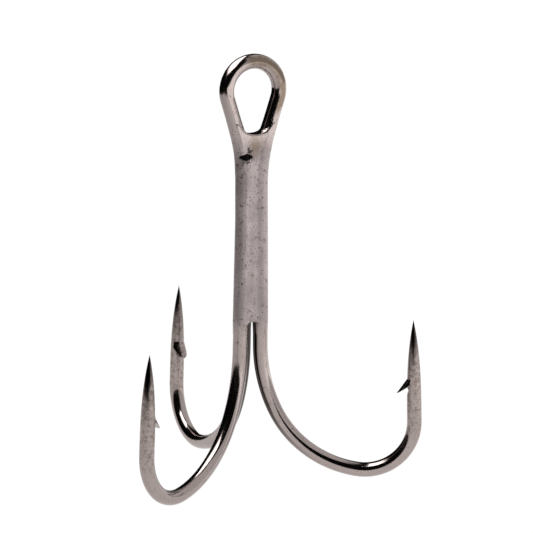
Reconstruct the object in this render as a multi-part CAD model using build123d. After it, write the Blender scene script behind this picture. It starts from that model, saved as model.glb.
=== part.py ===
from build123d import *
import os
from math import atan, cos, degrees, radians, sin, sqrt, tan

# Brazed treble hook.  A double hook is bent from one wire, which runs from point to point and
# loops over the top as the eye.  A single hook lies in the groove between its two shanks, and
# braze metal fills the space between the three shanks and the throat of the eye.
#
# Millimetres.  +Z is up along the shank axis, and z = 0 is the plane that the bends stand on.
# The single hook points along -Y, and the eye lies across the X axis.

# Wire and shank bundle
WIRE_DIAMETER = 1.9
BRAZE_GAP = 0.33            # between two wires at the neck, where the shanks are closest
SHANK_SPLAY = 1.0           # degrees that each shank leans away from the axis towards its bend
RIGHT_AZIMUTH = 30.0
LEFT_AZIMUTH = 150.0
SINGLE_AZIMUTH = 271.0
SINGLE_OFFSET = 0.27        # the single hook's shank lies this far off the middle, to the left
SHANK_LENGTH = 21.1         # neck to the start of the bend
LEFT_SHANK_SHORT = 0.5      # the left leg of the double hook ends this much higher
SINGLE_ABOVE_NECK = 3.9     # the single hook's cut end stands this far above the neck

# Round bend: three tangent arcs of falling radius, then a straight spear that leans in
BEND_RADII = (19.8, 13.8, 6.4)
BEND_ANGLES = (24.5, 57.5)  # the last arc takes what is left of the turn
SPEAR_LEAN = 2.0            # degrees that the spear leans back towards the shank
SPEAR_LENGTH = 13.3         # all of it is drawn down to the point
RIGHT_SPEAR_SHORT = 0.6     # the right spear is this much shorter

# Barb, in the spear's own plane: distance back from the point, distance from the spear's axis
BARB_ROOT = (7.7, 0.87)
BARB_TIP = (9.6, 2.25)
BARB_UNDERSIDE = (8.7, 0.92)
NOTCH_BOTTOM = (9.1, 0.68)
NOTCH_END = (9.8, 0.93)

# Eye: out-turned necks, straight legs and a round top
NECK_RADIUS = 23.0
LEG_SLOPE = 18.0            # degrees from the eye's centre line
LEG_LENGTH = 3.9

# Braze, with heights above the neck
BRAZE_BELOW_FLUSH = 0.08    # how far the filled grooves lie under the wires' tangent planes
ARCH_RADIUS = 1.5           # underside of the braze between two shanks
ARCH_TOP = -17.25
THROAT_FLOOR = 6.8
THROAT_RADIUS = 2.7
THROAT_CLIMB = 0.7          # how far the braze climbs the legs above the floor
RAMP_BOTTOM = 3.5           # where the braze starts to slope off the single hook's cut end
RAMP_TOP = 5.9
PIT_RADIUS = 0.7            # hollow beside the right leg, on the side away from the single hook
PIT_CENTRE = (1.1, 1.85)
PIT_HEIGHT = 4.0

wire_radius = WIRE_DIAMETER / 2
neck_reach = (WIRE_DIAMETER + BRAZE_GAP) / sqrt(3)
last_bend_angle = 180 + SPEAR_LEAN - SHANK_SPLAY - sum(BEND_ANGLES)


def depth_to_bend_bottom():
    """Height from the neck down to the underside of a full-length hook's bend."""
    depth = SHANK_LENGTH * cos(radians(SHANK_SPLAY)) + wire_radius
    before = SHANK_SPLAY
    for radius, angle in zip(BEND_RADII, (*BEND_ANGLES, 90 - SHANK_SPLAY - sum(BEND_ANGLES))):
        depth += radius * (sin(radians(before + angle)) - sin(radians(before)))
        before += angle
    return depth


neck_height = depth_to_bend_bottom()


def chain(start, heading, runs):
    """Tangent lines and arcs in the XY plane: a run is (length,) or (radius, turn)."""
    edges = []
    point, tangent = Vector(start), Vector(heading)
    for run in runs:
        if len(run) == 1:
            edge = Line(point, point + tangent * run[0])
        else:
            edge = JernArc(point, tangent, run[0], run[1])
        edges.append(edge)
        point, tangent = edge @ 1, edge % 1
    return edges


def hook_plane(azimuth):
    """The plane of one hook's bend: local x runs outwards, local y up."""
    a = radians(azimuth)
    offset = SINGLE_OFFSET if azimuth == SINGLE_AZIMUTH else 0
    origin = (-offset, 0, neck_height)
    return Plane(origin=origin, x_dir=(cos(a), sin(a), 0), z_dir=(sin(a), -cos(a), 0))


def eye_plane():
    """The plane that holds both shanks of the double hook and the eye."""
    lean = atan(tan(radians(SHANK_SPLAY)) * sin(radians(RIGHT_AZIMUTH)))
    middle = (0, neck_reach * sin(radians(RIGHT_AZIMUTH)), neck_height)
    return Plane(origin=middle, x_dir=(1, 0, 0), z_dir=(0, -cos(lean), -sin(lean)))


def hook_edges(azimuth, shank_length, above_neck=0.0):
    """Centre line of one hook, from the top of its shank to the root of its spear."""
    splay = radians(SHANK_SPLAY)
    top = (neck_reach - above_neck * tan(splay), above_neck)
    runs = [(shank_length + above_neck / cos(splay),)]
    runs += [(radius, angle) for radius, angle in zip(BEND_RADII, (*BEND_ANGLES, last_bend_angle))]
    flat = chain(top, (sin(splay), -cos(splay)), runs)
    plane = hook_plane(azimuth)
    return [plane * edge for edge in flat]


def eye_edges():
    """Centre line of the eye, from the right neck over the top to the left neck."""
    splay = radians(SHANK_SPLAY)
    sideways = sin(splay) * cos(radians(RIGHT_AZIMUTH))
    closing = degrees(atan(sideways / sqrt(1 - sideways**2)))
    half_width = neck_reach * cos(radians(RIGHT_AZIMUTH))
    slope, close = radians(LEG_SLOPE), radians(closing)
    leg_top = half_width + NECK_RADIUS * (cos(close) - cos(slope)) + LEG_LENGTH * sin(slope)
    eye_radius = leg_top / cos(slope)
    neck_turn = (NECK_RADIUS, -(LEG_SLOPE + closing))
    runs = [neck_turn, (LEG_LENGTH,), (eye_radius, 180 + 2 * LEG_SLOPE), (LEG_LENGTH,), neck_turn]
    flat = chain((half_width, 0), (-sin(close), cos(close)), runs)
    plane = eye_plane()
    return [plane * edge for edge in flat]


def along_spear(point, length):
    """A barb dimension (back from the point, from the axis) in the spear's own frame."""
    return (point[1], length - point[0])


def barb_chip(length):
    """The sliver lifted from the wire: flat inside, with the wire's own round back."""
    corners = (BARB_ROOT, BARB_TIP, BARB_UNDERSIDE, NOTCH_BOTTOM)
    root, tip, under, bottom = (Vector(*along_spear(corner, length)) for corner in corners)
    buried = Vector(wire_radius / 2, root.Y)
    outline = [buried, root, tip, under, bottom, Vector(wire_radius / 2, bottom.Y)]
    blank = extrude(Plane.XZ * make_face(Polyline(*outline, close=True)), wire_radius, both=True)
    back = (tip - root).normalized()
    inside = root - Vector(-back.Y, back.X) * wire_radius
    axis_plane = Plane(origin=(inside.X, 0, inside.Y), z_dir=(back.X, 0, back.Y))
    return blank & axis_plane * Cylinder(wire_radius, 2 * length)


def barb_notch(length):
    """The chisel cut under the barb."""
    corners = (BARB_UNDERSIDE, NOTCH_BOTTOM, NOTCH_END)
    under, bottom, end = (Vector(*along_spear(corner, length)) for corner in corners)
    clear = Vector(2 * wire_radius, end.Y)
    outline = make_face(Polyline(under, bottom, end, clear, close=True))
    return extrude(Plane.XZ * outline, wire_radius, both=True)


def spear(length):
    """Straight tapered spear with its barb: +Z to the point, +X towards the shank."""
    third = length / 3
    taper = Bezier((0, length), (wire_radius, 2 * third), (wire_radius, third), (wire_radius, 0))
    sides = Polyline((wire_radius, 0), (0, 0), (0, length))
    needle = revolve(Plane.XZ * make_face([taper, sides]), Axis.Z)
    return needle - barb_notch(length) + barb_chip(length)


def spear_at(azimuth, root_edge, length=SPEAR_LENGTH):
    """The spear, set on the end of a bend."""
    outward = hook_plane(azimuth).x_dir
    heading = root_edge % 1
    sideways = heading.cross(outward * -1)
    inward = sideways.cross(heading)
    return Plane(origin=root_edge @ 1, x_dir=inward, z_dir=heading) * spear(length)


def round_wire(edges):
    """Wire of constant diameter along a chain of tangent edges."""
    first = edges[0]
    section = Plane(origin=first @ 0, z_dir=first % 0) * Circle(wire_radius)
    return sweep(section, path=Wire(edges))


def flipped(edges):
    """The same chain, run the other way."""
    return [edge.reversed() for edge in reversed(edges)]


def double_hook():
    right = hook_edges(RIGHT_AZIMUTH, SHANK_LENGTH)
    left = hook_edges(LEFT_AZIMUTH, SHANK_LENGTH - LEFT_SHANK_SHORT)
    right_spear = spear_at(RIGHT_AZIMUTH, right[-1], SPEAR_LENGTH - RIGHT_SPEAR_SHORT)
    body = round_wire(flipped(right) + eye_edges() + left)
    return body + right_spear + spear_at(LEFT_AZIMUTH, left[-1])


def single_hook():
    edges = hook_edges(SINGLE_AZIMUTH, SHANK_LENGTH, SINGLE_ABOVE_NECK)
    return round_wire(edges) + spear_at(SINGLE_AZIMUTH, edges[-1])


def bundle_section(height):
    """Six-sided section that joins the three shanks just under their tangent planes."""
    reach = neck_reach - height * tan(radians(SHANK_SPLAY))
    cover = wire_radius - BRAZE_BELOW_FLUSH
    azimuths = (RIGHT_AZIMUTH, LEFT_AZIMUTH, SINGLE_AZIMUTH)
    corners = []
    for azimuth in azimuths:
        plane = hook_plane(azimuth)
        centre = Vector(plane.origin.X, plane.origin.Y) + plane.x_dir * reach
        for side in (-60, 60):
            corners.append(centre + Vector(cover, 0).rotate(Axis.Z, azimuth + side))
    return Pos(0, 0, neck_height + height) * make_face(Polyline(*corners, close=True))


def web_section(height):
    """Section of the web between the eye's legs, on the same six corners."""
    cover = wire_radius - BRAZE_BELOW_FLUSH
    middle = neck_reach * sin(radians(RIGHT_AZIMUTH))
    half = neck_reach * cos(radians(RIGHT_AZIMUTH))
    half += NECK_RADIUS - sqrt(NECK_RADIUS**2 - height**2)
    front, back = middle - cover, middle + cover
    corners = [(half, front), (half, back), (-half, back), (-half, front)]
    corners += [(-half / 3, front), (half / 3, front)]
    return Pos(0, 0, neck_height + height) * make_face(Polyline(*corners, close=True))


def braze(wires):
    """Braze between the shanks, arched underneath, with a web across the eye's throat."""
    foot = ARCH_TOP - ARCH_RADIUS
    crown = THROAT_FLOOR + THROAT_CLIMB
    fill = loft([bundle_section(foot), bundle_section(RAMP_BOTTOM)], ruled=True)
    fill += loft([bundle_section(RAMP_BOTTOM), web_section(RAMP_TOP)], ruled=True)
    fill += loft([web_section(RAMP_TOP), web_section(crown)], ruled=True)
    arch = Cylinder(ARCH_RADIUS, 4 * ARCH_RADIUS, align=(Align.CENTER, Align.CENTER, Align.MIN))
    for groove in (90, 210, 330):
        fill -= Pos(0, 0, neck_height + foot) * Rot(0, 0, groove) * Rot(0, 90, 0) * arch
    floor_axis = Pos(0, 0, neck_height + THROAT_FLOOR + THROAT_RADIUS) * Rot(90, 0, 0)
    floor = floor_axis * Cylinder(THROAT_RADIUS, 8 * wire_radius)
    pit = Pos(*PIT_CENTRE, neck_height + PIT_HEIGHT) * Sphere(PIT_RADIUS)
    fill -= floor
    fill -= pit
    for wire in wires:
        fill -= wire
    return fill


os.makedirs("parts", exist_ok=True)
double = double_hook()
single = single_hook()
nodes = {"double_hook": double, "single_hook": single, "shank_braze": braze([double, single])}
for name, shape in nodes.items():
    export_step(shape, f"parts/{name}.step")
    print(name, "solids", len(shape.solids()), "volume", round(shape.volume, 2))
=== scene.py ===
from math import atan, atan2, cos, degrees, radians, sin, sqrt, tan

import bpy
import numpy as np
from mathutils import Matrix, Vector

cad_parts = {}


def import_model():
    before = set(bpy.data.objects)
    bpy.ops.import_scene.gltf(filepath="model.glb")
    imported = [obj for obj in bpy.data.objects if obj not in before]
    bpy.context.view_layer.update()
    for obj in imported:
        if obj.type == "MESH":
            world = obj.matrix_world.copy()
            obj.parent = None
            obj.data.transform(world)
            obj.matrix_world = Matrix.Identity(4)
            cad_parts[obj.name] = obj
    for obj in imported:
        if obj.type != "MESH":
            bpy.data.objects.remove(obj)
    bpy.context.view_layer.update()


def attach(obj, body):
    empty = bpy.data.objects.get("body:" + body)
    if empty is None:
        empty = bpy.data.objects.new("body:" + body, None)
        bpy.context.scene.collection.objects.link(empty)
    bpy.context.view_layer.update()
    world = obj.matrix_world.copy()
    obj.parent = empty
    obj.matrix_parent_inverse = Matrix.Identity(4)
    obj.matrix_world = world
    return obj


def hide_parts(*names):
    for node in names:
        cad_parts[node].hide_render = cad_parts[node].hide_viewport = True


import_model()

# Brazed treble hook: a double hook bent from one wire, with the eye on top, a single hook laid in
# the groove between its shanks, and braze metal run over the three shanks and under the eye.
# Lengths are in millimetres until a mesh is made, in the frame of the CAD model: the origin is on
# the shank axis in the plane that the bends stand on, +Z is up, and the single hook points to -Y.
MM = 0.001

# Wire and shank bundle, as in the CAD model
WIRE_RADIUS = 0.95
SKIN_RADIUS = 0.942         # the drawn wire stays just inside the CAD wire
BRAZE_GAP = 0.33
SHANK_SPLAY = radians(1.0)
RIGHT_AZIMUTH = radians(30)
LEFT_AZIMUTH = radians(150)
SINGLE_AZIMUTH = radians(271)
SINGLE_OFFSET = 0.27
SHANK_LENGTH = 21.1
LEFT_SHANK_SHORT = 0.5
SINGLE_ABOVE_NECK = 3.9
BEND_RADII = (19.8, 13.8, 6.4)
BEND_ANGLES = (24.5, 57.5)
SPEAR_LEAN = 2.0
SPEAR_LENGTH = 13.3
RIGHT_SPEAR_SHORT = 0.6

# Barb, in the spear's own plane: distance back from the point, distance from the spear's axis
BARB_ROOT = (7.7, 0.87)
BARB_TIP = (9.6, 2.25)
BARB_UNDERSIDE = (8.7, 0.92)
NOTCH_BOTTOM = (9.1, 0.68)
NOTCH_END = (9.8, 0.93)
BARB_ZONE = (6.6, 10.6)
BARB_FILLET = 0.10
NOTCH_FILLET = 0.04

# Eye
NECK_RADIUS = 23.0
LEG_SLOPE = radians(18)
LEG_LENGTH = 3.9

# Braze, with heights above the neck
FILM_THICKNESS = 0.045
FLUSH_DEPTH = 0.05
ARCH_RADIUS = 1.5
ARCH_TOP = -17.25
THROAT_FLOOR = 6.8
THROAT_RADIUS = 2.7
RAMP_BOTTOM = 3.5
RAMP_TOP = 5.9
PIT_RADIUS = 0.7
PIT_CENTRE = (1.1, 1.85)
PIT_HEIGHT = 4.0
LUMP_THICKNESS = 0.17        # the braze runs thick over the right shank, up to a ledge
LUMP_FOOT = (-5.0, 1.0)
LUMP_LEDGE = (3.45, 4.0)
# Black patch over the pit above the single hook's cut end: sooty metal, blackened further as painted shadow
# in the gap; the curl is a dark crescent of the same soot and painted shadow beside it
SCORCH_AND_SHADOW_RADII = (1.05, 0.85, 0.52)
CURL_RADII = (0.50, 0.7, 0.46)
CURL_HOLE_RADII = (0.26, 0.7, 0.22)
FLECK_HEIGHTS = (-5.5, -3.0, 2.6, 3.5)   # fade in from below, and out again under the ledge
EYE_COAT_END = 1.6           # the coat on the legs of the eye runs out this far above the throat
COAT_RUN_OUT = 1.5
WEB_STAIN_RADII = (1.5, 1.6, 2.0)

# Mesh density
RING_POINTS = 48
ARC_STEP = 0.22
LINE_STEP = 0.5
BARB_GRID = 0.05
BRAZE_GRID = 0.085

neck_reach = (2 * WIRE_RADIUS + BRAZE_GAP) / sqrt(3)
last_bend_angle = 180 + SPEAR_LEAN - degrees(SHANK_SPLAY) - sum(BEND_ANGLES)


def depth_to_bend_bottom():
    """Height from the neck down to the underside of a full-length hook's bend."""
    depth = SHANK_LENGTH * cos(SHANK_SPLAY) + WIRE_RADIUS
    before = SHANK_SPLAY
    left_to_level = 90 - degrees(SHANK_SPLAY) - sum(BEND_ANGLES)
    for radius, angle in zip(BEND_RADII, (*BEND_ANGLES, left_to_level)):
        after = before + radians(angle)
        depth += radius * (sin(after) - sin(before))
        before = after
    return depth


neck_height = depth_to_bend_bottom()
# Centres of the soot and painted shadow over the pit
SCORCH_AND_SHADOW_CENTRE = (1.27, 1.5, neck_height + 3.95)
CURL_CENTRE = (0.78, 1.5, neck_height + 4.85)
CURL_HOLE = (0.62, 1.5, neck_height + 5.02)
EYE_CENTRE = (0, neck_reach / 2, neck_height + 12.28)
WEB_STAIN_CENTRE = (0, 1.2, neck_height + 5.2)


# ---------------------------------------------------------------- centre lines

def chain(start, heading, runs):
    """Points and tangents of tangent lines and arcs in a plane.

    A run is (length,) or (radius, turn in degrees), and a positive turn is to the left.
    """
    point, angle = np.array(start, float), atan2(heading[1], heading[0])
    points, tangents = [point], [(cos(angle), sin(angle))]
    for run in runs:
        if len(run) == 1:
            count = max(2, round(run[0] / LINE_STEP))
            for _ in range(count):
                point = point + np.array((cos(angle), sin(angle))) * run[0] / count
                points.append(point)
                tangents.append((cos(angle), sin(angle)))
        else:
            turn = radians(run[1])
            count = max(4, round(run[0] * abs(turn) / ARC_STEP))
            chord = 2 * run[0] * sin(abs(turn) / count / 2)
            for _ in range(count):
                middle = angle + turn / count / 2
                point = point + np.array((cos(middle), sin(middle))) * chord
                angle += turn / count
                points.append(point)
                tangents.append((cos(angle), sin(angle)))
    return np.array(points), np.array(tangents)


def hook_axes(azimuth):
    """Origin, outward and upward directions of one hook's plane."""
    offset = SINGLE_OFFSET if azimuth == SINGLE_AZIMUTH else 0
    origin = np.array((-offset, 0, neck_height))
    return origin, np.array((cos(azimuth), sin(azimuth), 0)), np.array((0, 0, 1))


def eye_axes():
    """Origin, sideways, upward and backward directions of the eye's plane."""
    lean = atan(tan(SHANK_SPLAY) * sin(RIGHT_AZIMUTH))
    origin = np.array((0, neck_reach * sin(RIGHT_AZIMUTH), neck_height))
    up = np.array((0, -sin(lean), cos(lean)))
    back = np.array((0, cos(lean), sin(lean)))
    return origin, np.array((1.0, 0, 0)), up, back


def hook_line(azimuth, shank_length, above_neck=0.0):
    """Centre line from the top of the shank to the root of the spear.

    Returns points, tangents and the directions that look into the hook's gap.
    """
    top = (neck_reach - above_neck * tan(SHANK_SPLAY), above_neck)
    runs = [(shank_length + above_neck / cos(SHANK_SPLAY),)]
    runs += list(zip(BEND_RADII, (*BEND_ANGLES, last_bend_angle)))
    flat, headings = chain(top, (sin(SHANK_SPLAY), -cos(SHANK_SPLAY)), runs)
    origin, out, up = hook_axes(azimuth)
    points = origin + flat[:, :1] * out + flat[:, 1:] * up
    tangents = headings[:, :1] * out + headings[:, 1:] * up
    inward = -headings[:, 1:] * out + headings[:, :1] * up
    return points, tangents, inward


def eye_line():
    """Centre line from the right neck over the top to the left neck, with outward directions."""
    sideways = sin(SHANK_SPLAY) * cos(RIGHT_AZIMUTH)
    close = atan(sideways / sqrt(1 - sideways**2))
    half_width = neck_reach * cos(RIGHT_AZIMUTH)
    leg_top = half_width + NECK_RADIUS * (cos(close) - cos(LEG_SLOPE)) + LEG_LENGTH * sin(LEG_SLOPE)
    eye_radius = leg_top / cos(LEG_SLOPE)
    neck_turn = (NECK_RADIUS, -degrees(LEG_SLOPE + close))
    loop = (eye_radius, degrees(np.pi + 2 * LEG_SLOPE))
    runs = [neck_turn, (LEG_LENGTH,), loop, (LEG_LENGTH,), neck_turn]
    flat, headings = chain((half_width, 0), (-sin(close), cos(close)), runs)
    origin, side, up, _ = eye_axes()
    points = origin + flat[:, :1] * side + flat[:, 1:] * up
    tangents = headings[:, :1] * side + headings[:, 1:] * up
    outward = headings[:, 1:] * side - headings[:, :1] * up
    return points, tangents, outward


# ---------------------------------------------------------------- mesh building

class Surface:
    """Vertices and faces under construction, with each vertex's place on the straightened wire."""

    def __init__(self):
        self.vertices = []
        self.straight = []
        self.backs = []
        self.faces = []

    def add(self, vertices, straight, backs):
        first = len(self.vertices)
        self.vertices.extend(map(tuple, vertices))
        self.straight.extend(map(tuple, straight))
        self.backs.extend(backs)
        return list(range(first, len(self.vertices)))


def ring(surface, point, tangent, across, radius, along, back):
    """One ring of a wire: angle 0 lies along the across direction."""
    side = np.cross(tangent, across)
    angles = np.arange(RING_POINTS) * 2 * np.pi / RING_POINTS
    c, s = np.cos(angles)[:, None], np.sin(angles)[:, None]
    vertices = point + radius * (c * across + s * side)
    straight = np.hstack([radius * c, radius * s, np.full((RING_POINTS, 1), along)])
    return surface.add(vertices, straight, [back] * RING_POINTS)


def bridge(surface, ring_a, ring_b):
    """Quads between two rings of the same count."""
    for i in range(len(ring_a)):
        j = (i + 1) % len(ring_a)
        surface.faces.append((ring_a[i], ring_a[j], ring_b[j], ring_b[i]))


def cap(surface, loop, vertex, flip):
    """A fan from a loop to a single vertex."""
    for i in range(len(loop)):
        j = (i + 1) % len(loop)
        face = (loop[j], loop[i], vertex) if flip else (loop[i], loop[j], vertex)
        surface.faces.append(face)


def loop_angles(surface, loop):
    """Each vertex's angle round the straightened wire."""
    straight = np.array([surface.straight[i] for i in loop])
    return np.mod(np.arctan2(straight[:, 1], straight[:, 0]), 2 * np.pi)


def zip_loops(surface, loop_a, loop_b):
    """Triangles between two loops round the same wire with different counts."""
    def in_order(loop):
        angles = loop_angles(surface, loop)
        if np.unwrap(angles)[-1] < angles[0]:
            loop, angles = loop[::-1], angles[::-1]
        start = int(np.argmin(angles))
        angles = np.unwrap(np.roll(angles, -start))
        return loop[start:] + loop[:start], [float(angle) for angle in angles]

    a, angles_a = in_order(loop_a)
    b, angles_b = in_order(loop_b)
    a, angles_a = a + a[:1], angles_a + [angles_a[0] + 2 * np.pi]
    b, angles_b = b + b[:1], angles_b + [angles_b[0] + 2 * np.pi]
    i = j = 0
    while i < len(a) - 1 or j < len(b) - 1:
        step_a = j == len(b) - 1 or (i < len(a) - 1 and angles_a[i + 1] <= angles_b[j + 1])
        if step_a:
            surface.faces.append((a[i], a[i + 1], b[j]))
            i += 1
        else:
            surface.faces.append((a[i], b[j + 1], b[j]))
            j += 1


def open_loop(quads, members):
    """The named vertices in order round an open end of a net."""
    sides = {(quad[k], quad[(k + 1) % 4]) for quad in quads.tolist() for k in range(4)}
    members = set(members)
    after = {a: b for a, b in sides if (b, a) not in sides and a in members and b in members}
    loop = [min(after)]
    while after[loop[-1]] != loop[0]:
        loop.append(after[loop[-1]])
    return loop


def surface_net(distance, low, high, step):
    """Vertices and quads on the zero level of a distance function.

    Each grid cell that the surface crosses gets one vertex, which is then moved onto the surface.
    """
    counts = [int(np.ceil((high[a] - low[a]) / step)) + 1 for a in range(3)]
    axes = [low[a] + step * np.arange(counts[a]) for a in range(3)]
    x, y, z = np.meshgrid(*axes, indexing="ij")
    field = distance(x, y, z)
    inside = field < 0
    cells = tuple(n - 1 for n in counts)
    total = np.zeros(cells)
    sums = np.zeros(cells + (3,))
    for axis in range(3):
        others = [a for a in range(3) if a != axis]
        start, end = [slice(None)] * 3, [slice(None)] * 3
        start[axis], end[axis] = slice(None, -1), slice(1, None)
        f0, f1 = field[tuple(start)], field[tuple(end)]
        crossed = (f0 < 0) != (f1 < 0)
        share = np.where(crossed, f0 / np.where(crossed, f0 - f1, 1), 0)
        for shift in ((0, 0), (0, 1), (1, 0), (1, 1)):
            window = [slice(None)] * 3
            for other, s in zip(others, shift):
                window[other] = slice(s, s + cells[other])
            hit = crossed[tuple(window)]
            total += hit
            offset = np.zeros(cells + (3,))
            offset[..., axis] = share[tuple(window)]
            for other, s in zip(others, shift):
                offset[..., other] = s
            sums += offset * hit[..., None]
    active = total > 0
    index = np.full(cells, -1)
    index[active] = np.arange(active.sum())
    where = np.argwhere(active)
    vertices = np.array(low) + step * (where + sums[active] / total[active][:, None])
    quads = []
    for axis in range(3):
        u, v = (axis + 1) % 3, (axis + 2) % 3
        start, end = [slice(None)] * 3, [slice(None)] * 3
        start[axis], end[axis] = slice(None, -1), slice(1, None)
        for a in (u, v):
            start[a] = end[a] = slice(1, -1)
        first, second = inside[tuple(start)], inside[tuple(end)]
        edges = np.argwhere(first != second)
        leaving = first[tuple(edges.T)]
        base = edges.copy()
        base[:, u] += 1
        base[:, v] += 1
        corner = []
        for du, dv in ((-1, -1), (0, -1), (0, 0), (-1, 0)):
            cell = base.copy()
            cell[:, u] += du
            cell[:, v] += dv
            corner.append(index[tuple(cell.T)])
        quad = np.stack(corner, 1)
        quad[~leaving] = quad[~leaving][:, ::-1]
        quads.append(quad)
    for _ in range(3):
        vertices = onto_surface(distance, vertices)
    return vertices, np.concatenate(quads), where


def onto_surface(distance, vertices, reach=0.01):
    """One Newton step along the distance function's gradient."""
    value = distance(*vertices.T)
    gradient = np.zeros_like(vertices)
    for axis in range(3):
        nudge = np.zeros(3)
        nudge[axis] = reach
        gradient[:, axis] = distance(*(vertices + nudge).T) - distance(*(vertices - nudge).T)
    gradient /= 2 * reach
    slope = np.maximum((gradient**2).sum(1), 0.2)
    return vertices - gradient * (value / slope)[:, None]


def smooth_min(a, b, width):
    """The smaller of two distances, with a fillet where they are about equal."""
    share = np.clip(0.5 + 0.5 * (b - a) / width, 0, 1)
    return b + (a - b) * share - width * share * (1 - share)


def smooth_max(a, b, width):
    return -smooth_min(-a, -b, width)


def ease(value, start, end):
    """0 before start, 1 after end, and smooth between them."""
    t = np.clip((value - start) / (end - start), 0, 1)
    return t * t * (3 - 2 * t)


# ---------------------------------------------------------------- spears and barbs

def taper(back, length):
    """Radius of a spear at a distance back from its point."""
    return SKIN_RADIUS * (1 - (1 - np.minimum(back, length) / length) ** 3)


def side_of_line(x, back, start, end):
    """Signed distance from a line in the spear's plane, positive towards the point and shank."""
    along = np.array(end) - np.array(start)
    along = along / np.hypot(*along)
    return (x - start[1]) * along[0] - (back - start[0]) * along[1]


def barb_distance(length):
    """Distance function of the barbed part of a spear: x inwards, y sideways, z back."""
    def distance(x, y, back):
        body = np.hypot(x, y) - taper(back, length)
        v_cut = np.minimum(
            side_of_line(x, back, BARB_UNDERSIDE, NOTCH_BOTTOM),
            side_of_line(x, back, NOTCH_BOTTOM, NOTCH_END),
        )
        body = smooth_max(body, v_cut, NOTCH_FILLET)
        depth = side_of_line(x, back, BARB_ROOT, BARB_TIP) + WIRE_RADIUS
        chip = np.hypot(depth, y) - WIRE_RADIUS
        chip = smooth_max(chip, -side_of_line(x, back, BARB_UNDERSIDE, BARB_TIP), NOTCH_FILLET)
        chip = np.maximum(chip, WIRE_RADIUS / 2 - x)
        return smooth_min(body, chip, BARB_FILLET)

    return distance


def spear(surface, root, tangent, across, length, root_ring, along, towards_point):
    """Barbed spear from the end ring of a bend to the point.

    towards_point is 1 where the wire runs on to this point, and -1 where it starts from it.
    """
    heading = tangent * towards_point
    side = np.cross(tangent, across)
    flip = towards_point < 0

    def place(back):
        return root + heading * (length - back)

    def along_at(back):
        return along + towards_point * (length - back)

    def ring_at(back):
        radius = float(taper(back, length))
        return ring(surface, place(back), tangent, across, radius, along_at(back), back)

    def join(ring_a, ring_b):
        bridge(surface, ring_b, ring_a) if flip else bridge(surface, ring_a, ring_b)

    def close(loop_a, loop_b):
        zip_loops(surface, *((loop_b, loop_a) if flip else (loop_a, loop_b)))

    previous = root_ring
    low, high = BARB_ZONE
    for back in np.linspace(length, high, 9)[1:]:
        current = ring_at(back)
        join(previous, current)
        previous = current

    distance = barb_distance(length)
    reach = BARB_TIP[1] + 3 * BARB_GRID
    width = WIRE_RADIUS + 3 * BARB_GRID
    vertices, quads, cells = surface_net(distance, (-width, -width, low), (reach, width, high), BARB_GRID)
    placed = place(0) - heading * vertices[:, 2:] + vertices[:, :1] * across + vertices[:, 1:2] * side
    straight = np.column_stack([vertices[:, :2], along_at(0) - towards_point * vertices[:, 2]])
    names = surface.add(placed, straight, list(vertices[:, 2]))
    for quad in quads:
        corners = [names[k] for k in quad]
        surface.faces.append(tuple(corners[::-1] if not flip else corners))
    far_end = open_loop(quads, np.flatnonzero(cells[:, 2] == cells[:, 2].max()).tolist())
    close_end = open_loop(quads, np.flatnonzero(cells[:, 2] == 0).tolist())
    far_end, close_end = [names[k] for k in far_end], [names[k] for k in close_end]
    close(previous, far_end)

    previous = ring_at(low - BARB_GRID / 2)
    close(close_end, previous)
    for share in np.linspace(1, 0, 24)[1:-1]:
        back = (low - BARB_GRID / 2) * share**1.6
        current = ring_at(back)
        join(previous, current)
        previous = current
    point = surface.add([place(0)], [(0, 0, along_at(0))], [0])[0]
    cap(surface, previous, point, flip)


def tube(surface, points, tangents, across, backs, along=0.0):
    """Rings of constant radius along a centre line. Returns the first and last rings."""
    steps = np.linalg.norm(np.diff(points, axis=0), axis=1)
    alongs = along + np.concatenate([[0], np.cumsum(steps)])
    first = previous = None
    for k in range(len(points)):
        current = ring(surface, points[k], tangents[k], across[k], SKIN_RADIUS, alongs[k], backs[k])
        if previous is None:
            first = current
        else:
            bridge(surface, previous, current)
        previous = current
    return first, previous, alongs[-1]


def finished_object(name, surface):
    """A Blender object from a surface, in metres, with its straightened coordinates stored."""
    mesh = bpy.data.meshes.new(name)
    mesh.from_pydata((np.array(surface.vertices) * MM).tolist(), [], surface.faces)
    straight = mesh.attributes.new("straight", "FLOAT_VECTOR", "POINT")
    straight.data.foreach_set("vector", np.array(surface.straight, dtype=np.float32).ravel())
    backs = mesh.attributes.new("back", "FLOAT", "POINT")
    backs.data.foreach_set("value", np.array(surface.backs, dtype=np.float32))
    mesh.shade_smooth()
    piece = bpy.data.objects.new(name, mesh)
    bpy.context.collection.objects.link(piece)
    return piece


def distance_back(points, length):
    """Distance back from the point of the spear at the end of this centre line."""
    steps = np.linalg.norm(np.diff(points, axis=0), axis=1)
    from_root = np.concatenate([[0], np.cumsum(steps[::-1])])[::-1]
    return length + from_root


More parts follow.
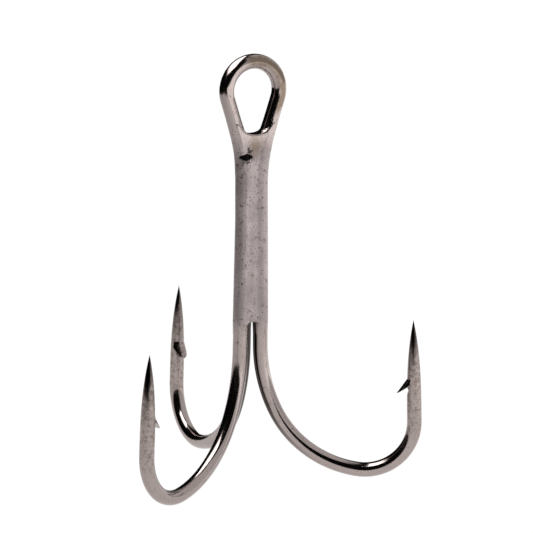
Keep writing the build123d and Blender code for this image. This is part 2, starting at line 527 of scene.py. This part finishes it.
def double_hook():
    """One wire from the right point, up over the eye and down to the left point."""
    right = hook_line(RIGHT_AZIMUTH, SHANK_LENGTH)
    left = hook_line(LEFT_AZIMUTH, SHANK_LENGTH - LEFT_SHANK_SHORT)
    right_length = SPEAR_LENGTH - RIGHT_SPEAR_SHORT
    eye_points, eye_tangents, eye_outward = eye_line()
    back = eye_axes()[3]
    right_in = right[2][0]
    turn = atan2(float(right_in @ back), float(right_in @ eye_outward[0]))
    eye_across = cos(turn) * eye_outward + sin(turn) * back
    points = np.concatenate([right[0][::-1], eye_points[1:-1], left[0]])
    tangents = np.concatenate([-right[1][::-1], eye_tangents[1:-1], left[1]])
    across = np.concatenate([right[2][::-1], eye_across[1:-1], left[2]])
    right_backs = distance_back(right[0], right_length)[::-1]
    left_backs = distance_back(left[0], SPEAR_LENGTH)
    eye_backs = np.full(len(eye_points) - 2, left_backs[0])
    backs = np.concatenate([right_backs, eye_backs, left_backs])
    surface = Surface()
    first, last, end = tube(surface, points, tangents, across, backs, right_length)
    spear(surface, points[0], tangents[0], across[0], right_length, first, right_length, -1)
    spear(surface, points[-1], tangents[-1], across[-1], SPEAR_LENGTH, last, end, 1)
    return finished_object("double_hook_wire", surface)


def single_hook():
    """A wire from its cut end under the eye to its point."""
    length = SPEAR_LENGTH
    points, tangents, across = hook_line(SINGLE_AZIMUTH, SHANK_LENGTH, SINGLE_ABOVE_NECK)
    surface = Surface()
    first, last, end = tube(surface, points, tangents, across, distance_back(points, length))
    middle = surface.add([points[0]], [(0, 0, 0)], [surface.backs[first[0]]])[0]
    cap(surface, first, middle, True)
    spear(surface, points[-1], tangents[-1], across[-1], length, last, end, 1)
    return finished_object("single_hook_wire", surface)


# ---------------------------------------------------------------- braze

def line_distance(x, y, start, end):
    """Distance to a straight run, in a plane."""
    along = np.array(end) - np.array(start)
    length = np.hypot(*along)
    along = along / length
    t = np.clip((x - start[0]) * along[0] + (y - start[1]) * along[1], 0, length)
    return np.hypot(x - start[0] - t * along[0], y - start[1] - t * along[1])


def double_distance(x, y, z):
    """Distance from the centre line of the double hook's shanks and the legs of its eye."""
    origin, _, up, back = eye_axes()
    height = (y - origin[1]) * up[1] + (z - origin[2]) * up[2]
    depth = (y - origin[1]) * back[1] + (z - origin[2]) * back[2]
    across = np.abs(x)
    half_width = neck_reach * cos(RIGHT_AZIMUTH)
    sideways = sin(SHANK_SPLAY) * cos(RIGHT_AZIMUTH)
    close = atan(sideways / sqrt(1 - sideways**2))
    shank_foot = (half_width + 30 * tan(close), -30)
    centre = (half_width + NECK_RADIUS * cos(close), NECK_RADIUS * sin(close))
    angle = np.arctan2(height - centre[1], centre[0] - across)
    angle = np.clip(angle, -close, LEG_SLOPE)
    on_arc = (centre[0] - NECK_RADIUS * np.cos(angle), centre[1] + NECK_RADIUS * np.sin(angle))
    arc = np.hypot(across - on_arc[0], height - on_arc[1])
    leg = (centre[0] - NECK_RADIUS * cos(LEG_SLOPE), centre[1] + NECK_RADIUS * sin(LEG_SLOPE))
    leg_end = (leg[0] + LEG_LENGTH * sin(LEG_SLOPE), leg[1] + LEG_LENGTH * cos(LEG_SLOPE))
    flat = np.minimum(line_distance(across, height, (half_width, 0), shank_foot), arc)
    flat = np.minimum(flat, line_distance(across, height, leg, leg_end))
    return np.hypot(flat, depth)


def single_distance(x, y, z):
    """Distance from the centre line of the single hook's shank."""
    height = z - neck_height
    origin, out, _ = hook_axes(SINGLE_AZIMUTH)
    outward = (x - origin[0]) * out[0] + y * out[1]
    sideways = (x - origin[0]) * out[1] - y * out[0]
    top = (neck_reach - 8 * tan(SHANK_SPLAY), 8)
    foot = (neck_reach + 30 * tan(SHANK_SPLAY), -30)
    return np.hypot(line_distance(outward, height, top, foot), sideways)


def film(height, low, high):
    """Thickness of the braze on a wire: it runs out at low and high, and is sunk inside past them."""
    to_end = np.minimum(height - low, high - height) / COAT_RUN_OUT
    sunk = WIRE_RADIUS * ease(-to_end, 0.8, 1.6)
    return FILM_THICKNESS * np.clip(to_end, -1, 1) - sunk


def bundle_fill(x, y, height):
    """Distance from the six-sided filling between the three shanks."""
    reach = neck_reach - height * tan(SHANK_SPLAY)
    cover = WIRE_RADIUS - FLUSH_DEPTH
    distance = np.full(x.shape, -9.0)
    for azimuth in (RIGHT_AZIMUTH, LEFT_AZIMUTH, SINGLE_AZIMUTH):
        outward = x * cos(azimuth) + y * sin(azimuth) - reach - cover / 2
        groove = azimuth + np.pi / 3
        flat = x * cos(groove) + y * sin(groove) - reach / 2 - cover
        distance = np.maximum(distance, np.maximum(outward, flat))
    return distance


def web_fill(x, y, height):
    """Distance from the web between the legs of the eye."""
    cover = WIRE_RADIUS - FLUSH_DEPTH
    middle = neck_reach * sin(RIGHT_AZIMUTH)
    rise = np.clip(height / NECK_RADIUS, 0, 0.6)
    half = neck_reach * cos(RIGHT_AZIMUTH) + NECK_RADIUS * (1 - np.sqrt(1 - rise**2))
    return np.maximum(np.abs(y - middle) - cover, np.abs(x) - half)


def braze_distance(x, y, z):
    """Distance function of the braze: a film over the wires, the filling and the web."""
    height = z - neck_height
    foot = ARCH_TOP - ARCH_RADIUS
    wire = double_distance(x, y, z) - WIRE_RADIUS
    coat = film(height, foot, THROAT_FLOOR + EYE_COAT_END)
    double = wire - coat
    single = single_distance(x, y, z) - WIRE_RADIUS - film(height, foot, SINGLE_ABOVE_NECK + 2)
    single = smooth_max(single, height - SINGLE_ABOVE_NECK - FILM_THICKNESS, 0.2)
    ramp = ease(height, RAMP_BOTTOM, RAMP_TOP)
    fill = bundle_fill(x, y, height) * (1 - ramp) + web_fill(x, y, height) * ramp
    for groove in (radians(90), radians(210), radians(330)):
        sideways = y * cos(groove) - x * sin(groove)
        outward = x * cos(groove) + y * sin(groove)
        arch = ARCH_RADIUS - np.hypot(sideways, height - foot)
        arch = np.where(outward > 0, arch, -9.0)
        fill = smooth_max(fill, arch, 0.15)
    fill = np.maximum(fill, foot - height)
    floor = THROAT_RADIUS - np.hypot(x, height - THROAT_FLOOR - THROAT_RADIUS)
    fill = smooth_max(fill, floor, 0.25)
    fill = np.maximum(fill, height - THROAT_FLOOR - 1.2)
    skin = smooth_min(double, fill, 0.25)
    skin = smooth_min(skin, single, 0.25 + 0.5 * ease(height, 1.5, 3.6))
    round_left = ease(x, 1.4, 2.2)
    ledge = 1 - ease(height, LUMP_LEDGE[0] - 1.8 * round_left, LUMP_LEDGE[1] + 0.8 * round_left)
    lump = LUMP_THICKNESS * ease(height, *LUMP_FOOT) * ledge
    skin = skin - lump * ease(x, -0.4, 0.9) * ease(y, -0.6, 0.8)
    side, reach = PIT_CENTRE
    pit = PIT_RADIUS - np.sqrt((x - side) ** 2 + (y - reach) ** 2 + (height - PIT_HEIGHT) ** 2)
    skin = smooth_max(skin, pit, 0.12)
    lining = wire - np.minimum(coat, coat / 4)
    return np.minimum(skin, lining)


def shank_braze():
    low = (-4.6, -3.0, neck_height + ARCH_TOP - ARCH_RADIUS - 3)
    high = (4.6, 2.4, neck_height + THROAT_FLOOR + 4.6)
    vertices, quads, _ = surface_net(braze_distance, low, high, BRAZE_GRID)
    surface = Surface()
    surface.add(vertices, vertices, [SPEAR_LENGTH + SHANK_LENGTH] * len(vertices))
    surface.faces = [tuple(quad) for quad in quads.tolist()]
    return finished_object("shank_braze_metal", surface)


# ---------------------------------------------------------------- materials

class Graph:
    """Short ways to add and join shader nodes."""

    def __init__(self, tree):
        self.tree = tree

    def link(self, source, target):
        self.tree.links.new(source, target)

    def put(self, value, socket):
        if isinstance(value, bpy.types.NodeSocket):
            self.link(value, socket)
        else:
            socket.default_value = value

    def add(self, kind, **inputs):
        node = self.tree.nodes.new(kind)
        for name, value in inputs.items():
            self.put(value, node.inputs[name])
        return node

    def math(self, operation, first, second=0.0):
        node = self.add("ShaderNodeMath")
        node.operation = operation
        self.put(first, node.inputs[0])
        self.put(second, node.inputs[1])
        return node.outputs[0]

    def noise(self, place, scale, detail, roughness):
        node = self.add("ShaderNodeTexNoise", Vector=place, Scale=scale)
        node.inputs["Detail"].default_value = detail
        node.inputs["Roughness"].default_value = roughness
        return node.outputs["Fac"]

    def mix(self, share, first, second):
        """A colour between two colours, which may be constants or sockets."""
        node = self.add("ShaderNodeMix")
        node.data_type = "RGBA"
        self.put(share, node.inputs["Factor"])
        for name, colour in (("A", first), ("B", second)):
            socket = next(i for i in node.inputs if i.name == name and i.type == "RGBA")
            self.put(colour if isinstance(colour, bpy.types.NodeSocket) else (*colour, 1), socket)
        return next(o for o in node.outputs if o.type == "RGBA")

    def vector(self, operation, first, second=(0, 0, 0)):
        node = self.add("ShaderNodeVectorMath")
        node.operation = operation
        self.put(first, node.inputs[0])
        self.put(second, node.inputs[1])
        return node.outputs["Value" if operation in ("LENGTH", "DOT_PRODUCT") else "Vector"]

    def axes(self, vector):
        node = self.add("ShaderNodeSeparateXYZ")
        self.put(vector, node.inputs[0])
        return node.outputs["X"], node.outputs["Y"], node.outputs["Z"]

    def attribute(self, name, output):
        node = self.add("ShaderNodeAttribute")
        node.attribute_name = name
        return node.outputs[output]

    def scaled(self, colour, factor):
        """A constant colour times a factor."""
        node = self.add("ShaderNodeVectorMath")
        node.operation = "SCALE"
        node.inputs[0].default_value = colour
        self.put(factor, node.inputs["Scale"])
        return node.outputs[0]

    def dot(self, vector, constant):
        return self.vector("DOT_PRODUCT", vector, constant)

    def step(self, value, start, end):
        """0 before start and 1 after end, or the other way round where start is above end."""
        low, high = min(start, end), max(start, end)
        node = self.add("ShaderNodeMapRange")
        node.interpolation_type = "SMOOTHSTEP"
        self.put(value, node.inputs["Value"])
        node.inputs["From Min"].default_value = low
        node.inputs["From Max"].default_value = high
        node.inputs["To Min"].default_value = 0 if start < end else 1
        node.inputs["To Max"].default_value = 1 if start < end else 0
        return node.outputs["Result"]


PLATE = (0.385, 0.325, 0.308)
TARNISH = (0.15, 0.105, 0.082)
# Near-black for sooty pits, flecks and points, also used as painted shade between and under the wires
SOOT_AND_SHADE = (0.022, 0.017, 0.015)
# Black of the sooty hollow, deepened as painted shadow
HOLLOW_SOOT_AND_SHADOW = (0.004, 0.003, 0.003)
BRAZE_PLATE = (0.335, 0.286, 0.284)
OLIVE = (0.165, 0.120, 0.085)
# Orange-brown of the painted rim reflection
RIM_REFLECTION_BROWN = (0.24, 0.135, 0.075)
WIRE_BUMP = 0.12
BRAZE_BUMP = 0.24
BUMP_DEPTH = 0.03            # millimetres
# Painted shade where the wires face each other, by distance back from the point:
CROTCH_SHADE_REACH = (27, 40)   # fades in, in millimetres back from the point
CROTCH_SHADE_END = (60, 54)     # and out again, inside the braze


def millimetres(graph):
    """Position on the hook in millimetres."""
    return graph.vector("DIVIDE", graph.add("ShaderNodeTexCoord").outputs["Object"], (MM, MM, MM))


def along_wire(graph):
    """Position on the straightened wire, squeezed lengthwise so that a noise makes streaks."""
    return graph.vector("MULTIPLY", graph.attribute("straight", "Vector"), (1, 1, 0.06))


def back_from_point(graph):
    """Distance back from the nearest point of the hook, in millimetres."""
    return graph.attribute("back", "Fac")


def near(graph, place, centre, radii, soft=0.6):
    """1 inside an ellipsoid, falling to 0 at its skin, with a ragged edge."""
    ragged = graph.noise(place, 2.6, 3, 0.6)
    span = graph.vector("LENGTH", graph.vector("DIVIDE", graph.vector("SUBTRACT", place, centre), radii))
    reach = graph.math("ADD", span, graph.math("MULTIPLY", ragged, 0.9))
    return graph.step(reach, 1.45, 1.45 - soft)


def weathering(graph, place, colour, strength, pit_level):
    """Clouding, lengthwise streaks, mottling and small dark pits, over the colour given."""
    cloud = graph.noise(place, 0.42, 4, 0.55)
    streak = graph.noise(along_wire(graph), 2.6, 5, 0.6)
    fine = graph.noise(place, 5.5, 5, 0.7)
    shade = 1.0
    for pattern, amount in ((cloud, 0.30), (streak, 0.20), (fine, 0.32)):
        wave = graph.math("MULTIPLY", graph.math("SUBTRACT", pattern, 0.5), amount * strength)
        shade = graph.math("ADD", wave, shade)
    colour = graph.scaled(colour, shade)
    blotch = graph.step(graph.noise(place, 1.25, 6, 0.72), 0.53, 0.72)
    colour = graph.mix(graph.math("MULTIPLY", blotch, 0.35 * strength), colour, TARNISH)
    pits = graph.step(graph.noise(place, 4.4, 3, 0.5), pit_level, pit_level + 0.05)
    pits = graph.math("MULTIPLY", pits, graph.step(cloud, 0.40, 0.54))
    pits = graph.math("MULTIPLY", pits, 0.8)
    return graph.mix(pits, colour, SOOT_AND_SHADE), pits, fine, streak


def point_tarnish(graph, place, colour):
    """Darker, browner spears, darkest towards the points."""
    back = back_from_point(graph)
    ragged = graph.noise(place, 1.7, 5, 0.7)
    reach = graph.math("ADD", back, graph.math("MULTIPLY", ragged, 10.0))
    bare = graph.step(reach, 14.5, 6.5)
    flecks = graph.step(graph.noise(place, 1.9, 6, 0.72), 0.47, 0.62)
    spear_flecks = graph.math("MULTIPLY", flecks, graph.step(back, 17.0, 12.0))
    colour = graph.mix(graph.math("MULTIPLY", spear_flecks, 0.65), colour, TARNISH)
    return graph.mix(graph.math("MULTIPLY", bare, 0.8), colour, SOOT_AND_SHADE)


def painted_crotch_shade(graph, colour):
    """Painted shade, dark, on the sides where the three wires face each other."""
    inwards, sideways, _ = graph.axes(graph.attribute("straight", "Vector"))
    inner = graph.step(inwards, -0.25 * WIRE_RADIUS, -0.5 * WIRE_RADIUS)
    flank = graph.step(graph.math("ABSOLUTE", sideways), 0.22 * WIRE_RADIUS, 0.32 * WIRE_RADIUS)
    back = back_from_point(graph)
    run = graph.math("MULTIPLY", graph.step(back, *CROTCH_SHADE_REACH), graph.step(back, *CROTCH_SHADE_END))
    # Painted shade on the inner flanks, between the wires
    scale = graph.math("MULTIPLY", graph.math("MULTIPLY", inner, flank), run)
    return graph.mix(graph.math("MULTIPLY", scale, 0.92), colour, SOOT_AND_SHADE)


def eye_stain(graph, place, colour):
    """Olive-brown heat stain along the middle of the eye's far half."""
    x, y, z = graph.axes(graph.vector("SUBTRACT", place, EYE_CENTRE))
    ragged = graph.math("MULTIPLY", graph.math("SUBTRACT", graph.noise(place, 1.3, 5, 0.65), 0.5), 1.2)
    square = graph.math("ADD", graph.math("MULTIPLY", x, x), graph.math("MULTIPLY", z, z))
    radius = graph.math("SQRT", square)
    radius = graph.math("ADD", radius, ragged)
    ring = graph.math("MULTIPLY", graph.step(radius, 2.95, 3.65), graph.step(radius, 4.60, 4.10))
    round_eye = graph.math("ADD", graph.math("SUBTRACT", z, graph.math("MULTIPLY", x, 1.6)), ragged)
    side = graph.step(round_eye, 0.2, 3.0)
    stain = graph.math("MULTIPLY", graph.math("MULTIPLY", ring, side), graph.step(y, 0.0, 0.5))
    return graph.mix(graph.math("MULTIPLY", stain, 0.85), colour, OLIVE)


def painted_rim_reflection(graph, colour, amount):
    """Painted orange-brown reflection on the faces seen most steeply, at the rims."""
    weight = graph.add("ShaderNodeLayerWeight", Blend=0.5).outputs["Facing"]
    rim = graph.math("MULTIPLY", graph.step(weight, 0.80, 0.97), amount)
    return graph.mix(rim, colour, RIM_REFLECTION_BROWN)


def metal_shader(material, graph, colour, roughness, height, strength):
    """A conductor with the colour, roughness and bump height given."""
    shader = material.node_tree.nodes["Principled BSDF"]
    shader.inputs["Metallic"].default_value = 1
    graph.put(colour, shader.inputs["Base Color"])
    graph.put(roughness, shader.inputs["Roughness"])
    bump = graph.add("ShaderNodeBump", Strength=strength, Distance=BUMP_DEPTH * MM, Height=height)
    graph.put(bump.outputs[0], shader.inputs["Normal"])


def hook_plate():
    """Smoked nickel plate: glossy, with fine streaks, pits and tarnish, painted shade between the wires and
    a painted orange-brown rim reflection.
    """
    material = bpy.data.materials.new("hook_wire_plate")
    material.use_nodes = True
    graph = Graph(material.node_tree)
    place = millimetres(graph)
    colour, pits, fine, streak = weathering(graph, place, PLATE, 1.0, 0.65)
    colour = point_tarnish(graph, place, colour)
    # Painted shade between the wires
    colour = painted_crotch_shade(graph, colour)
    colour = eye_stain(graph, place, colour)
    # Painted orange-brown rim reflection
    colour = painted_rim_reflection(graph, colour, 0.8)
    rough = graph.math("ADD", graph.math("MULTIPLY", fine, 0.10), 0.07)
    rough = graph.math("ADD", rough, graph.math("MULTIPLY", pits, 0.3))
    relief = graph.math("SUBTRACT", graph.math("MULTIPLY", streak, 0.12), pits)
    metal_shader(material, graph, colour, rough, relief, WIRE_BUMP)
    return material


def braze_flecks(graph, place, height, colour):
    """Ragged dark flecks in the upper part of the joint."""
    flecks = graph.step(graph.noise(place, 2.5, 5, 0.65), 0.58, 0.66)
    start, full, fade, end = (neck_height + h for h in FLECK_HEIGHTS)
    zone = graph.math("MULTIPLY", graph.step(height, start, full), graph.step(height, end, fade))
    return graph.mix(graph.math("MULTIPLY", graph.math("MULTIPLY", flecks, zone), 0.6), colour, SOOT_AND_SHADE)


def braze_plate():
    """The same plate over cast braze: duller and more mottled, with a sooty hollow blackened further with
    painted shadow, painted shade under the arch and a painted orange-brown rim reflection.
    """
    material = bpy.data.materials.new("braze_plate")
    material.use_nodes = True
    graph = Graph(material.node_tree)
    place = millimetres(graph)
    height = graph.axes(place)[2]
    arch = neck_height + ARCH_TOP
    top = graph.step(height, neck_height + 4.6, neck_height + 7.0)
    bottom = graph.step(height, arch + 0.6, arch - 1.6)
    gloss = graph.math("MAXIMUM", top, bottom)
    colour, pits, fine, _ = weathering(graph, place, BRAZE_PLATE, 2.4, 0.615)
    smooth_colour = weathering(graph, place, PLATE, 1.0, 0.65)[0]
    colour = graph.mix(gloss, colour, smooth_colour)
    web = near(graph, place, WEB_STAIN_CENTRE, WEB_STAIN_RADII, 0.8)
    colour = graph.mix(graph.math("MULTIPLY", web, 0.7), colour, OLIVE)
    colour = braze_flecks(graph, place, height, colour)
    # Painted orange-brown rim reflection
    colour = painted_rim_reflection(graph, colour, 0.5)
    # The hollow painted black: soot on the cut end, and painted shadow in the gap above it
    scorch_and_shadow = near(graph, place, SCORCH_AND_SHADOW_CENTRE, SCORCH_AND_SHADOW_RADII, 0.25)
    colour = graph.mix(scorch_and_shadow, colour, HOLLOW_SOOT_AND_SHADOW)
    # A dark crescent beside it, soot and painted shadow
    curl_hole = near(graph, place, CURL_HOLE, CURL_HOLE_RADII, 0.3)
    curl = near(graph, place, CURL_CENTRE, CURL_RADII, 0.35)
    curl = graph.math("MULTIPLY", curl, graph.math("SUBTRACT", 1.0, curl_hole))
    colour = graph.mix(graph.math("MULTIPLY", curl, 0.85), colour, SOOT_AND_SHADE)
    # Painted shade under the arch of the braze, close to the middle where the wires part
    span = graph.vector("LENGTH", graph.vector("MULTIPLY", place, (1, 1, 0)))
    under = graph.step(height, arch + 0.30, arch - 0.05)
    scale = graph.math("MULTIPLY", under, graph.step(span, 1.45, 1.15))
    colour = graph.mix(graph.math("MULTIPLY", scale, 0.92), colour, SOOT_AND_SHADE)
    rough = graph.math("ADD", graph.math("MULTIPLY", fine, 0.14), 0.31)
    rough = graph.math("SUBTRACT", rough, graph.math("MULTIPLY", gloss, 0.25))
    rough = graph.math("ADD", rough, graph.math("MULTIPLY", pits, 0.25))
    waves = graph.noise(place, 1.6, 4, 0.55)
    relief = graph.math("ADD", graph.math("MULTIPLY", fine, 0.7), graph.math("MULTIPLY", waves, 2.2))
    relief = graph.math("SUBTRACT", relief, graph.math("MULTIPLY", pits, 2.0))
    metal_shader(material, graph, colour, rough, relief, BRAZE_BUMP)
    return material


# ---------------------------------------------------------------- camera, light and floor

CAMERA_AZIMUTH = radians(63.757)
CAMERA_ELEVATION = radians(12.111)
CAMERA_ROLL = radians(-0.922)
CAMERA_DISTANCE = 353.561
CAMERA_SHIFT = (2.072, -12.692)   # to the right and up, from above the neck
HALF_VIEW = 0.09484               # half the picture's width, at distance 1
SHANK_BELOW_AIM = 2.6             # from the height that the camera is set out from, down to the neck
WALL_LEFT_EDGE = (37, 41)         # degrees round from the camera, between dark and lit
WALL_RIGHT_EDGE = (175, 150)
WALL_TOP_EDGE = (82, 70)          # degrees up
SOFTBOX_STRENGTH = 5.0
SOFTBOX_HEIGHT = 115
SOFTBOX_EDGES = (-95, -6, -45, 60)   # left, right, back and front, seen from the camera
SOFTBOX_FADE = 55
ROOM_GLOW = 0.004
TABLE_LEFT_EDGE = (-210, -195)   # millimetres from the hook, between dark and lit
TABLE_FRONT_EDGE = (290, 190)
TABLE_BACK_EDGE = (-240, -200)
TABLE_RIGHT_HALF = (20, 60)      # lit all the way from here on


def camera():
    """A viewpoint a little above the hook, on the side away from the single hook."""
    aim = Vector((0, 0, neck_height + SHANK_BELOW_AIM))
    flat = cos(CAMERA_ELEVATION)
    towards = Vector((cos(CAMERA_AZIMUTH) * flat, sin(CAMERA_AZIMUTH) * flat, sin(CAMERA_ELEVATION)))
    level = Vector((-sin(CAMERA_AZIMUTH), cos(CAMERA_AZIMUTH), 0))
    upright = towards.cross(level)
    right = cos(CAMERA_ROLL) * level - sin(CAMERA_ROLL) * upright
    up = sin(CAMERA_ROLL) * level + cos(CAMERA_ROLL) * upright
    place = aim + CAMERA_SHIFT[0] * right + CAMERA_SHIFT[1] * up + CAMERA_DISTANCE * towards
    data = bpy.data.cameras.new("camera")
    data.sensor_width = 36
    data.lens = data.sensor_width / 2 / HALF_VIEW
    data.clip_start, data.clip_end = 0.01, 10
    view = bpy.data.objects.new("camera", data)
    turn = Matrix((right, up, towards)).transposed().to_4x4()
    view.matrix_world = Matrix.Translation(place * MM) @ turn
    bpy.context.collection.objects.link(view)
    bpy.context.scene.camera = view


def studio_light(graph):
    """Brightness of the room by direction: dark, but for a pale wall to one side."""
    direction = graph.add("ShaderNodeTexCoord").outputs["Generated"]
    forward = graph.dot(direction, (cos(CAMERA_AZIMUTH), sin(CAMERA_AZIMUTH), 0))
    sideways = graph.dot(direction, (-sin(CAMERA_AZIMUTH), cos(CAMERA_AZIMUTH), 0))
    upward = graph.dot(direction, (0, 0, 1))
    azimuth = graph.math("DEGREES", graph.math("ARCTAN2", sideways, forward))
    elevation = graph.math("DEGREES", graph.math("ARCSINE", upward))
    left = graph.step(azimuth, *WALL_LEFT_EDGE)
    right = graph.step(azimuth, *WALL_RIGHT_EDGE)
    wall = graph.math("MULTIPLY", left, right)
    wall = graph.math("MULTIPLY", wall, graph.step(elevation, *WALL_TOP_EDGE))
    return graph.math("ADD", wall, ROOM_GLOW)


def world():
    """White where the camera sees it, and the studio's panels where the metal reflects it."""
    sky = bpy.data.worlds.new("studio")
    bpy.context.scene.world = sky
    sky.use_nodes = True
    graph = Graph(sky.node_tree)
    reflected = graph.add("ShaderNodeBackground", Strength=studio_light(graph))
    seen = graph.add("ShaderNodeBackground", Color=(1, 1, 1, 1), Strength=1.05)
    choice = graph.add("ShaderNodeMixShader", Fac=graph.add("ShaderNodeLightPath").outputs["Is Camera Ray"])
    graph.link(reflected.outputs[0], choice.inputs[1])
    graph.link(seen.outputs[0], choice.inputs[2])
    output = next(n for n in sky.node_tree.nodes if n.type == "OUTPUT_WORLD")
    graph.link(choice.outputs[0], output.inputs["Surface"])


def softbox():
    """A soft light close above the hook on the left, seen only in reflections."""
    left, right, back, front = SOFTBOX_EDGES
    corners = []
    for sideways, towards in ((left, back), (right, back), (right, front), (left, front)):
        x = -sin(CAMERA_AZIMUTH) * sideways + cos(CAMERA_AZIMUTH) * towards
        y = cos(CAMERA_AZIMUTH) * sideways + sin(CAMERA_AZIMUTH) * towards
        corners.append((x * MM, y * MM, SOFTBOX_HEIGHT * MM))
    mesh = bpy.data.meshes.new("softbox")
    mesh.from_pydata(corners, [], [(0, 1, 2, 3)])
    panel = bpy.data.objects.new("softbox", mesh)
    bpy.context.collection.objects.link(panel)
    panel.visible_camera = False
    panel.visible_diffuse = False
    panel.visible_shadow = False
    material = bpy.data.materials.new("softbox_cloth")
    material.use_nodes = True
    graph = Graph(material.node_tree)
    sideways = graph.dot(millimetres(graph), (-sin(CAMERA_AZIMUTH), cos(CAMERA_AZIMUTH), 0))
    strength = graph.math("MULTIPLY", graph.step(sideways, left, left + SOFTBOX_FADE), SOFTBOX_STRENGTH)
    cloth = graph.add("ShaderNodeEmission", Strength=strength)
    output = next(n for n in material.node_tree.nodes if n.type == "OUTPUT_MATERIAL")
    graph.link(cloth.outputs[0], output.inputs["Surface"])
    mesh.materials.append(material)


def table_glow(graph):
    """The lit table as the metal reflects it: it ends on the left, at the back and at the front."""
    place = millimetres(graph)
    right = graph.dot(place, (-sin(CAMERA_AZIMUTH), cos(CAMERA_AZIMUTH), 0))
    towards = graph.dot(place, (cos(CAMERA_AZIMUTH), sin(CAMERA_AZIMUTH), 0))
    front_to_back = graph.math(
        "MULTIPLY",
        graph.step(towards, *TABLE_FRONT_EDGE),
        graph.step(towards, *TABLE_BACK_EDGE),
    )
    glow = graph.math("MULTIPLY", graph.step(right, *TABLE_LEFT_EDGE), front_to_back)
    glow = graph.math("MAXIMUM", glow, graph.step(right, *TABLE_RIGHT_HALF))
    left_dim = graph.math("MULTIPLY", graph.step(right, 30, -90), 0.27)
    right_bright = graph.math("MULTIPLY", graph.step(right, 30, 170), 0.65)
    level = graph.math("ADD", graph.math("SUBTRACT", 1.0, left_dim), right_bright)
    return graph.math("ADD", graph.math("MULTIPLY", glow, level), ROOM_GLOW)


def floor():
    """A white table that glows evenly, so that it stays white and shows only a trace of shadow."""
    half, sunk = 2.0, -0.00002
    corners = [(-half, -half, 0), (half, -half, 0), (half, half, 0), (-half, half, 0)]
    mesh = bpy.data.meshes.new("floor")
    mesh.from_pydata(corners, [], [(0, 1, 2, 3)])
    slab = bpy.data.objects.new("floor", mesh)
    slab.location.z = sunk
    bpy.context.collection.objects.link(slab)
    material = bpy.data.materials.new("floor_paint")
    material.use_nodes = True
    graph = Graph(material.node_tree)
    shader = material.node_tree.nodes["Principled BSDF"]
    shader.inputs["Base Color"].default_value = (0.06, 0.06, 0.06, 1)
    shader.inputs["Roughness"].default_value = 1
    shader.inputs["Specular IOR Level"].default_value = 0
    shader.inputs["Emission Color"].default_value = (1, 1, 1, 1)
    shader.inputs["Emission Strength"].default_value = 1.0
    reflected = graph.add("ShaderNodeEmission", Strength=table_glow(graph))
    seen = graph.add("ShaderNodeLightPath").outputs["Is Camera Ray"]
    choice = graph.add("ShaderNodeMixShader", Fac=seen)
    graph.link(reflected.outputs[0], choice.inputs[1])
    graph.link(shader.outputs[0], choice.inputs[2])
    output = next(n for n in material.node_tree.nodes if n.type == "OUTPUT_MATERIAL")
    graph.link(choice.outputs[0], output.inputs["Surface"])
    mesh.materials.append(material)


camera()
world()
floor()
softbox()
wire_metal = hook_plate()
braze_metal = braze_plate()
parts = (
    (double_hook(), "double_hook", "hook_wire", wire_metal),
    (single_hook(), "single_hook", "hook_wire", wire_metal),
    (shank_braze(), "shank_braze", "braze", braze_metal),
)
for piece, node, slot, material in parts:
    piece.data.materials.append(material)
    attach(piece, "root")
    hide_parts(node)
bpy.context.scene.view_settings.view_transform = "Standard"
